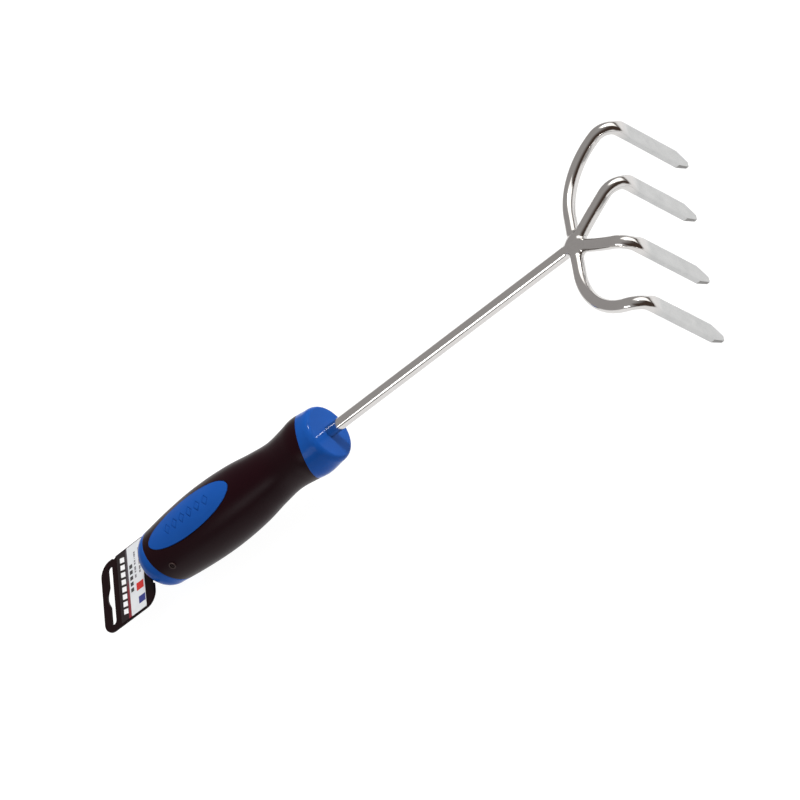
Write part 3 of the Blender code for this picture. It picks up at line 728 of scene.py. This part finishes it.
def make_tines():
    """Four rods from the weld to their blades."""
    outer_bend = outer_length() - BEND_RADIUS
    inner_bend = inner_length() - BEND_RADIUS
    outer_end, _ = outer_path(outer_length())
    inner_end, _ = inner_path(inner_length())
    outer = blade_rings(outer_end, OUTER_DROP, -BEND_RADIUS)
    outer += bend_rings(outer_path, outer_bend, 0.0)
    outer += leg_rings(outer_path, outer_bend, 0.0, ROD_START)
    inner = blade_rings(inner_end, INNER_DROP, INNER_RISE - BEND_RADIUS)
    inner += bend_rings(inner_path, inner_bend, INNER_RISE)
    inner += leg_rings(inner_path, inner_bend, INNER_RISE, ROD_START)
    for side, mirrored in (("left", True), ("right", False)):
        name = f"{side}_outer_rod"
        node = ["outer_bow"] if mirrored else []
        add_piece(name, rod_mesh(name, outer, mirrored, SHEAR_SHADE_RINGS), "polished_steel", node)
        name = f"{side}_inner_rod"
        node = [f"{side}_inner_tine"]
        add_piece(name, rod_mesh(name, inner, mirrored, SHEAR_SHADE_RINGS), "polished_steel", node)


def make_shaft():
    """The straight rod, from inside the weld to its tang inside the handle."""
    rings = []
    ring = section(2 * ROD_RADIUS, 2 * ROD_RADIUS, ROUND_SECTION, corners=64)
    for distance in np.linspace(ROD_START, SHAFT_REACH + TANG_LENGTH, 60):
        rings.append(ring_at(ring, (0.0, -distance, 0.0), (1.0, 0.0, 0.0), (0.0, 0.0, 1.0)))
    add_piece("shaft_rod", rod_mesh("shaft_rod", rings), "polished_steel", ["shaft"])


# ---------------------------------------------------------------- weld


def line_distance(points, line):
    """Distance from each point to a line through a list of points."""
    nearest = np.full(len(points), np.inf)
    for start, end in zip(line, line[1:]):
        along = end - start
        share = np.clip((points - start) @ along / (along @ along), 0.0, 1.0)
        gap = np.linalg.norm(points - start - share[:, None] * along, axis=1)
        nearest = np.minimum(nearest, gap)
    return nearest


def blended(first, second, fill):
    """The smaller of two distances, with the corner between them filled."""
    overlap = np.maximum(fill - np.abs(first - second), 0.0) / fill
    return np.minimum(first, second) - overlap * overlap * fill / 4


def weld_lines():
    """Middle lines of the bow, the shaft and the two inner legs near the weld."""
    reach = WELD_REACH + 6 * MM
    bend_start = inner_length() - BEND_RADIUS
    right_leg = []
    right_bow = []
    for distance in np.linspace(0.0, reach, 24):
        spot, _ = inner_path(distance)
        right_leg.append((spot.x, spot.y, INNER_RISE * distance / bend_start))
        spot, _ = outer_path(distance)
        right_bow.append((spot.x, spot.y, 0.0))
    right_leg, right_bow = np.array(right_leg), np.array(right_bow)
    mirror = np.array((-1.0, 1.0, 1.0))
    bow = np.vstack((right_bow[:0:-1] * mirror, right_bow))
    shaft = np.array(((0.0, 0.0, 0.0), (0.0, -reach, 0.0)))
    return bow, shaft, right_leg, right_leg * mirror


def weld_field(points, lines):
    """Signed distance to the weld: rods run together, cut off square on each rod."""
    # just proud of the rods in the middle, and sinking under their surface towards the ends
    reach = np.linalg.norm(points, axis=1)
    sunk = np.clip((reach - SINK_START) / (WELD_REACH - SINK_START), 0.0, 1.0)
    radius = ROD_RADIUS + WELD_PROUD - (WELD_PROUD + WELD_SUNK) * sunk
    bow, shaft, right_leg, left_leg = (line_distance(points, line) - radius for line in lines)
    body = blended(bow, shaft, WELD_FILL)
    body = blended(body, right_leg, WELD_FILL)
    body = blended(body, left_leg, WELD_FILL * 0.6)
    _, heading = inner_path(WELD_REACH)
    along_right = points @ np.array((math.cos(heading), math.sin(heading), 0.0))
    along_left = points @ np.array((-math.cos(heading), math.sin(heading), 0.0))
    for along in (points[:, 0], -points[:, 0], -points[:, 1], along_right, along_left):
        body = np.maximum(body, along - WELD_REACH)
    return body


def level_mesh(name, field, low, high, step):
    """The closed surface where field is zero, as quads with one corner in each crossed cell."""
    axes = [np.arange(start, end + step, step) for start, end in zip(low, high)]
    grid = np.stack(np.meshgrid(*axes, indexing="ij"), axis=-1)
    inside = field(grid.reshape(-1, 3)).reshape(grid.shape[:3]) < 0

    spans = ((slice(None, -1), slice(1, None)),) * 3
    filled = sum(inside[corner].astype(int) for corner in itertools.product(*spans))
    crossed = (filled > 0) & (filled < 8)
    number = np.full(crossed.shape, -1)
    number[crossed] = np.arange(crossed.sum())
    points = np.array(low) + (np.argwhere(crossed) + 0.5) * step

    # slide each corner down the field's slope onto the surface
    nudge = step / 50
    for _ in range(6):
        value = field(points)
        change = [field(points + nudge * axis) - field(points - nudge * axis) for axis in np.eye(3)]
        slope = np.stack(change, axis=1) / (2 * nudge)
        points = points - slope * (value / np.maximum((slope**2).sum(1), 0.1))[:, None]

    faces = []
    for axis in range(3):
        order = (axis, (axis + 1) % 3, (axis + 2) % 3)
        solid, cell = inside.transpose(order), number.transpose(order)
        near, far = solid[:-1, 1:-1, 1:-1], solid[1:, 1:-1, 1:-1]
        a, b, c = np.nonzero(near != far)
        cells = ((b, c), (b + 1, c), (b + 1, c + 1), (b, c + 1))
        ring = np.stack([cell[a, second, third] for second, third in cells], axis=1)
        outward = near[a, b, c]
        faces.append(ring[outward])
        faces.append(ring[~outward][:, ::-1])
    mesh = bpy.data.meshes.new(name)
    mesh.from_pydata(points.tolist(), [], np.vstack(faces).tolist())
    mesh.validate()
    return mesh


def make_weld():
    """The ground and polished weld that runs the rods into one another."""
    lines = weld_lines()
    side, margin = WELD_REACH + 2 * WELD_GRID, ROD_RADIUS + 5 * WELD_GRID
    low, high = (-side, -side, -margin), (side, side + 2 * MM, margin + INNER_RISE)
    mesh = level_mesh("weld", lambda points: weld_field(points, lines), low, high, WELD_GRID)
    nodes = ["shaft_weld", "left_tine_weld", "right_tine_weld", "crotch_weld"]
    add_piece("weld", mesh, "weld_steel", nodes)


# ---------------------------------------------------------------- handle


def outline_radius(station):
    """Radius of the handle at each station, from the collar's flank to the tip of the butt."""
    stations, radii = OUTLINE.T
    slopes = np.gradient(radii, stations)
    place = np.clip(np.searchsorted(stations, station) - 1, 0, len(stations) - 2)
    span = stations[place + 1] - stations[place]
    u = (station - stations[place]) / span
    swell = (1 + 2 * u) * (1 - u) ** 2 * radii[place] + u**2 * (3 - 2 * u) * radii[place + 1]
    swell = swell + span * (u * (1 - u) ** 2 * slopes[place] + u**2 * (u - 1) * slopes[place + 1])
    along_dome = np.clip((station - DOME_START) / DOME_LENGTH, 0.0, 1.0)
    return np.where(station > DOME_START, radii[-1] * np.sqrt(1 - along_dome**2), swell)


def seam_station(seam, angles):
    """Station of a slanted seam at each angle from the top."""
    middle, slope = seam
    station = np.full(len(angles), middle)
    for _ in range(30):
        station = middle - slope * outline_radius(station) * np.cos(angles)
    return station


def on_handle(station, angle, radius):
    """Points of the handle, by station, angle from the top and radius."""
    return np.stack((radius * np.sin(angle), -SHAFT_REACH - station, radius * np.cos(angle)), axis=-1)


def on_skin(station, angle, proud=0.0):
    return on_handle(station, angle, outline_radius(station) + proud)


def spread(first, last, shares):
    """Rows that run from first to last, one row for each share."""
    return first[None, :] + (last - first)[None, :] * np.asarray(shares)[:, None]


def all_round(count):
    return 2 * math.pi * np.arange(count) / count


def make_collar():
    """Blue collar: flat face with the shaft's hole, rounded rim, and flank up to the slanted seam."""
    angles = all_round(192)
    blank = np.zeros_like(angles)
    rows = []
    for radius in np.linspace(ROD_RADIUS + HOLE_GAP, COLLAR_FACE_RADIUS, 12)[:-1]:
        rows.append(on_handle(blank, angles, blank + radius))
    rise = OUTLINE[0, 1] - COLLAR_FACE_RADIUS
    for turn in np.linspace(0.0, math.pi / 2, 14)[:-1]:
        station = COLLAR_ROUNDING * (1 - math.cos(turn))
        radius = COLLAR_FACE_RADIUS + rise * math.sin(turn)
        rows.append(on_handle(blank + station, angles, blank + radius))
    seam = seam_station(FRONT_SEAM, angles) - SEAM_GAP / 2
    stations = spread(blank + COLLAR_ROUNDING, seam, np.linspace(0.0, 1.0, 26))
    rows += [on_skin(row, angles) for row in stations]

    def build(shape):
        add_patch(shape, np.array(rows), around=True)
        bmesh.ops.recalc_face_normals(shape, faces=shape.faces)

    collar = add_piece("collar", mesh_of("collar", build), "blue_plastic", ["handle_core"])
    thicken(collar, SHELL)
    round_edges(collar, LIP)


def oval_point(turn, grow=0.0):
    """Station and angle of points on the thumb pad's oval, grown by a margin."""
    station = PAD_STATION + (PAD_LENGTH / 2 + grow) * np.cos(turn)
    across = (PAD_WIDTH / 2 + grow) * np.sin(turn)
    return station, PAD_TURN + np.arcsin(across / outline_radius(station))


def make_sleeve():
    """Black sleeve between the seams, with an oval window for the thumb pad."""
    first_angle, last_angle = PAD_TURN - WINDOW_HALF_ANGLE, PAD_TURN + WINDOW_HALF_ANGLE
    inside = np.linspace(first_angle, last_angle, WINDOW_COLUMNS + 1)
    outside = np.linspace(inside[-1], inside[0] + 2 * math.pi, 121)

    def rows_between(first, last, count, angles):
        shares = np.linspace(first, last, count)
        front = seam_station(FRONT_SEAM, angles) + SEAM_GAP / 2
        rear = seam_station(REAR_SEAM, angles) - SEAM_GAP / 2
        return spread(front, rear, shares)

    def build(shape):
        for angles in (inside, outside):
            for first, last, count in ((0.0, WINDOW_START, 40), (WINDOW_END, 1.0, 5)):
                add_patch(shape, on_skin(rows_between(first, last, count, angles), angles[None, :]))
        middle = rows_between(WINDOW_START, WINDOW_END, WINDOW_ROWS + 1, outside)
        add_patch(shape, on_skin(middle, outside[None, :]))

        # rings from the square around the window in to the oval
        sides = rows_between(WINDOW_START, WINDOW_END, WINDOW_ROWS + 1, inside)
        square = [(sides[0, i], inside[i]) for i in range(WINDOW_COLUMNS)]
        square += [(sides[i, -1], inside[-1]) for i in range(WINDOW_ROWS)]
        square += [(sides[-1, i], inside[i]) for i in range(WINDOW_COLUMNS, 0, -1)]
        square += [(sides[i, 0], inside[0]) for i in range(WINDOW_ROWS, 0, -1)]
        station, angle = np.array(square).T
        length = station - PAD_STATION
        turn = np.arctan2((angle - PAD_TURN) / WINDOW_HALF_ANGLE, length / np.abs(length).max())
        oval_station, oval_angle = oval_point(turn, PAD_GAP)
        shares = 1 - (1 - np.linspace(0.0, 1.0, 16)) ** 1.5
        stations = spread(station, oval_station, shares)
        angles = spread(angle, oval_angle, shares)
        add_patch(shape, on_skin(stations, angles), around=True)
        weld_points(shape)

    sleeve = add_piece("grip_skin", mesh_of("grip_skin", build), "black_grip", ["grip_sleeve"])
    thicken(sleeve, SHELL)
    round_edges(sleeve, LIP)


def make_grip_mark():
    """Two small rings, one inside the other, moulded on the side of the sleeve."""

    def build(shape):
        turns = all_round(48)
        for scale in (1.0, MARK_INNER_SCALE):
            rows = []
            for share in np.linspace(0.0, 1.0, 4):
                reach = (MARK_SIZE - MARK_STROKE * MARK_SIZE * share) * scale
                station = MARK_STATION + reach * np.cos(turns)
                angle = MARK_ANGLE + reach * np.sin(turns) / outline_radius(station)
                rows.append(on_skin(station, angle, MARK_PROUD))
            add_patch(shape, np.array(rows)[::-1], around=True)

    mark = add_piece("grip_mark", mesh_of("grip_mark", build), "worn_grip")
    thicken(mark, MARK_WALL)
    round_edges(mark, MARK_LIP, steps=1)


def pad_marks(length, across):
    """Depth share of the row of lozenge outlines sunk in the thumb pad."""
    place = length / PAD_MARK_PITCH
    middle = np.clip(np.floor(place), -PAD_MARKS // 2, PAD_MARKS // 2 - 1) + 0.5
    lozenge = np.abs(length - middle * PAD_MARK_PITCH) * 1.35 + np.abs(across)
    off_line = np.abs(lozenge - PAD_MARK_SIZE) / 1.2
    return np.clip((PAD_STROKE / 2 - off_line) / PAD_MARK_SOFTNESS + 0.5, 0.0, 1.0)


def make_thumb_pad():
    """Blue oval pad that fills the sleeve's window, with a row of lozenges sunk in it."""
    turns = all_round(400)

    def build(shape):
        rows, marks = [], []
        for share in np.linspace(0.0, 1.0, 91)[1:]:
            length = PAD_LENGTH / 2 * share * np.cos(turns)
            across = PAD_WIDTH / 2 * share * np.sin(turns)
            station = PAD_STATION + length
            angle = PAD_TURN + np.arcsin(across / outline_radius(station))
            marks.append(pad_marks(length, across))
            rows.append(on_skin(station, angle, PAD_PROUD - PAD_MARK_DEPTH * marks[-1]))
        # the depth share also darkens the grooves in the blue finish, as painted shade
        depth = shape.verts.layers.float.new("sunk")
        corners = add_patch(shape, np.array(rows), around=True)
        for row, shares in zip(corners, marks):
            for corner, share in zip(row, shares):
                corner[depth] = share
        middle = on_skin(np.array(PAD_STATION), np.array(PAD_TURN), PAD_PROUD)
        centre = shape.verts.new(middle)
        for corner, after in zip(corners[0], corners[0][1:] + corners[0][:1]):
            shape.faces.new((centre, corner, after))
        bmesh.ops.recalc_face_normals(shape, faces=shape.faces)

    pad = add_piece("thumb_pad", mesh_of("thumb_pad", build), "blue_plastic", ["thumb_inlay"])
    thicken(pad, SHELL)
    round_edges(pad, LIP)


def make_butt():
    """Blue rounded butt, which the card's tongue runs into."""
    angles = all_round(192)
    seam = seam_station(REAR_SEAM, angles) + SEAM_GAP / 2
    shares = np.sin(np.linspace(0.0, math.pi / 2, 40))[:-1]
    stations = spread(seam, np.full_like(seam, BUTT_END), shares)

    def build(shape):
        corners = add_patch(shape, on_skin(stations, angles[None, :]), around=True)
        tip = shape.verts.new(behind_face(BUTT_END))
        for corner, after in zip(corners[-1], corners[-1][1:] + corners[-1][:1]):
            shape.faces.new((tip, corner, after))
        bmesh.ops.recalc_face_normals(shape, faces=shape.faces)

    butt = add_piece("butt", mesh_of("butt", build), "blue_plastic", ["butt_cap"])
    thicken(butt, 2 * SHELL)
    round_edges(butt, LIP)


# ---------------------------------------------------------------- hang card


def arc(x, y, radius, first, last, steps=10):
    """Points of a round corner, angles in degrees."""
    angles = np.radians(np.linspace(first, last, steps + 1))
    return [(x + radius * math.cos(angle), y + radius * math.sin(angle)) for angle in angles]


def flat_sheet(name, outlines, thickness, edge):
    """A mesh of a flat sheet with softened edges, from outlines whose inner ones are holes."""
    curve = bpy.data.curves.new(name, "CURVE")
    curve.dimensions = "2D"
    curve.fill_mode = "BOTH"
    curve.extrude = thickness / 2 - edge
    curve.bevel_depth = edge
    curve.bevel_resolution = 2
    curve.offset = -edge
    for outline in outlines:
        spline = curve.splines.new("POLY")
        spline.points.add(len(outline) - 1)
        for point, (x, y) in zip(spline.points, outline):
            point.co = (x, y, 0.0, 1.0)
        spline.use_cyclic_u = True
    drawn = bpy.data.objects.new(name, curve)
    bpy.context.scene.collection.objects.link(drawn)
    view = bpy.context.evaluated_depsgraph_get()
    mesh = bpy.data.meshes.new_from_object(drawn.evaluated_get(view))
    bpy.data.objects.remove(drawn)
    bpy.data.curves.remove(curve)
    mesh.name = name
    return mesh


def card_outline():
    """The card seen from above, from its tongue round both corners; +Y is forward."""
    front = -SHAFT_REACH - CARD_START
    back = front - CARD_LENGTH
    half, corner = CARD_WIDTH / 2, CARD_CORNER
    tongue = TONGUE_WIDTH / 2
    tongue_tip = -SHAFT_REACH - BUTT_END + TONGUE_DEPTH
    relief = tongue + NOTCH_RADIUS
    side_notch = back + SIDE_NOTCH_SETBACK
    points = [(tongue, front), (tongue, tongue_tip), (-tongue, tongue_tip), (-tongue, front)]
    points += arc(-relief, front, NOTCH_RADIUS, 360, 180)[1:]
    points += arc(-half + corner, front - corner, corner, 90, 180)
    points += arc(-half - NOTCH_RADIUS / 3, side_notch, NOTCH_RADIUS, 70, -70)
    points += arc(-half + corner, back + corner, corner, 180, 270)
    points += arc(half - corner, back + corner, corner, 270, 360)
    points += arc(half - corner, front - corner, corner, 0, 90)
    points += arc(relief, front, NOTCH_RADIUS, 360, 180)[:-1]
    return points


def slot_outline():
    """The hanging slot, with a shallow rise in the middle of its rear side."""
    middle = -SHAFT_REACH - CARD_START - CARD_LENGTH + HANG_SLOT_SETBACK
    half_width = HANG_SLOT_WIDTH / 2
    end = HANG_SLOT_LENGTH / 2 - half_width
    rise = HANG_BULGE_LENGTH / 2
    points = arc(end, middle, half_width, 90, -90)
    for share in np.linspace(1.0, -1.0, 25):
        lift = HANG_BULGE_HEIGHT * (0.5 + 0.5 * math.cos(math.pi * share)) ** 0.6
        points.append((rise * share, middle - half_width - lift))
    points += arc(-end, middle, half_width, 270, 90)
    return points


def make_card():
    """Black card with its tongue and hanging slot."""
    sheet = flat_sheet("hanger", [card_outline(), slot_outline()], CARD_THICKNESS, CARD_EDGE)
    card = add_piece("hanger", sheet, "card_plastic", ["hang_card"], body="card")
    card.data.set_sharp_from_angle(angle=math.radians(35))


def make_label():
    """Printed label on the card's upper face."""
    half_x = LABEL_WIDTH / 2 - LABEL_CORNER
    half_y = LABEL_LENGTH / 2 - LABEL_CORNER
    outline = []
    for x, y, first in ((1, 1, 0), (-1, 1, 90), (-1, -1, 180), (1, -1, 270)):
        outline += arc(x * half_x, y * half_y, LABEL_CORNER, first, first + 90, 4)
    sheet = flat_sheet("label", [outline], LABEL_THICKNESS, LABEL_EDGE)
    station = CARD_START + LABEL_INSET + LABEL_LENGTH / 2
    height = (CARD_THICKNESS + LABEL_THICKNESS) / 2
    place = Matrix.Translation(behind_face(station, z=height))
    label = add_piece("label", sheet, "label_paper", ["card_label"], body="card", place=place)
    label.data.set_sharp_from_angle(angle=math.radians(35))


# ---------------------------------------------------------------- camera, floor and light


def make_camera():
    """A long lens that looks down on the tool from its front right, well rolled."""
    right = Vector(CAMERA_RIGHT).normalized()
    back = Vector(CAMERA_BACK)
    back = (back - right * back.dot(right)).normalized()
    up = back.cross(right)
    lens = bpy.data.cameras.new("camera")
    lens.sensor_width = SENSOR_WIDTH
    lens.lens = FOCAL_LENGTH
    lens.clip_end = FAR_LIMIT
    camera = bpy.data.objects.new("camera", lens)
    bpy.context.scene.collection.objects.link(camera)
    aim = Vector(CAMERA_AIM) + right * CAMERA_SLIDE_RIGHT + up * CAMERA_SLIDE_UP
    turned = Matrix((right, up, back)).transposed().to_4x4()
    camera.matrix_world = TOOL @ Matrix.Translation(aim + back * CAMERA_DISTANCE) @ turned
    bpy.context.scene.camera = camera


def make_floor():
    """A white floor lit from below in the middle, so that it stays pale under the tool."""
    paint = Finish("floor_paint", roughness=0.8, emission_strength=FLOOR_GLOW)
    x, y, _ = paint.parts(paint.place())
    beyond_side = paint.math("MAXIMUM", abs(x) - LIT_HALF_LENGTH, 0.0)
    beyond_end = paint.math("MAXIMUM", abs(y) - LIT_HALF_WIDTH, 0.0)
    beyond = paint.math("SQRT", beyond_side * beyond_side + beyond_end * beyond_end)
    fade = beyond.rising(0.0, LIT_FADE)
    tone = paint.noise(60 * MM)
    paint.set("Base Color", paint.mix(tone, (0.11, 0.11, 0.11), (0.13, 0.13, 0.13)))
    paint.set("Emission Color", paint.mix(fade, (1.0, 1.0, 1.0), FLOOR_FAR))

    def build(shape):
        bmesh.ops.create_grid(shape, x_segments=1, y_segments=1, size=FLOOR_HALF_SIZE)

    floor = bpy.data.objects.new("floor", mesh_of("floor", build))
    bpy.context.scene.collection.objects.link(floor)
    floor.location = (*LIT_CENTRE, CAD_BOX[0][2])
    floor.data.materials.append(paint.material)


def make_side_panel():
    """A lit panel close to the tool on its right; it draws the bright line along the rods."""
    light = bpy.data.lights.new("side_panel", "AREA")
    light.shape = "RECTANGLE"
    light.size, light.size_y = SIDE_PANEL_SIZE
    light.energy = SIDE_PANEL_POWER
    panel = bpy.data.objects.new("side_panel", light)
    bpy.context.scene.collection.objects.link(panel)
    panel.location = SIDE_PANEL_PLACE
    away = panel.location - Vector(SIDE_PANEL_AIM)
    panel.rotation_euler = away.to_track_quat("Z", "Y").to_euler()
    panel.visible_camera = False


def make_light():
    """The studio all round: pale walls, a dark side, and bright and dark patches on them."""
    world = bpy.data.worlds.new("studio")
    bpy.context.scene.world = world
    world.use_nodes = True
    room = Nodes(world.node_tree, "Background")
    x, y, z = room.parts(room.node("ShaderNodeTexCoord", output="Generated"))
    azimuth = room.math("ARCTAN2", y, x) * math.degrees(1)
    elevation = room.math("ARCSINE", z) * math.degrees(1)

    def within(value, span, soft):
        low, high = span
        rise = value.rising(low - soft / 2, low + soft / 2)
        return rise * (1 - value.rising(high - soft / 2, high + soft / 2))

    walls = room.mix(elevation.rising(*WALL_RISE), WALL_LOW, WALL_HIGH)
    shade = within(azimuth, DARK_SIDE_AZIMUTH, DARK_SIDE_SOFTNESS)
    shade = shade * (1 - elevation.rising(*DARK_SIDE_TOP))
    light = room.mix(shade, walls, DARK_SIDE)
    for colour, across, across_soft, upright, upright_soft in PATCHES:
        patch = within(azimuth, across, across_soft) * within(elevation, upright, upright_soft)
        light = room.mix(patch, light, colour)
    room.set("Color", light)
    bpy.context.scene.view_settings.view_transform = "Standard"


# ---------------------------------------------------------------- build


def main():
    FINISHES.update(
        polished_steel=polished_steel(),
        weld_steel=weld_steel(),
        blue_plastic=blue_plastic(),
        black_grip=black_grip(),
        worn_grip=worn_grip(),
        card_plastic=card_plastic(),
        label_paper=label_paper(),
    )
    make_camera()
    make_tines()
    make_shaft()
    make_weld()
    make_collar()
    make_sleeve()
    make_thumb_pad()
    make_grip_mark()
    make_butt()
    make_card()
    make_label()
    make_floor()
    make_side_panel()
    make_light()


main()
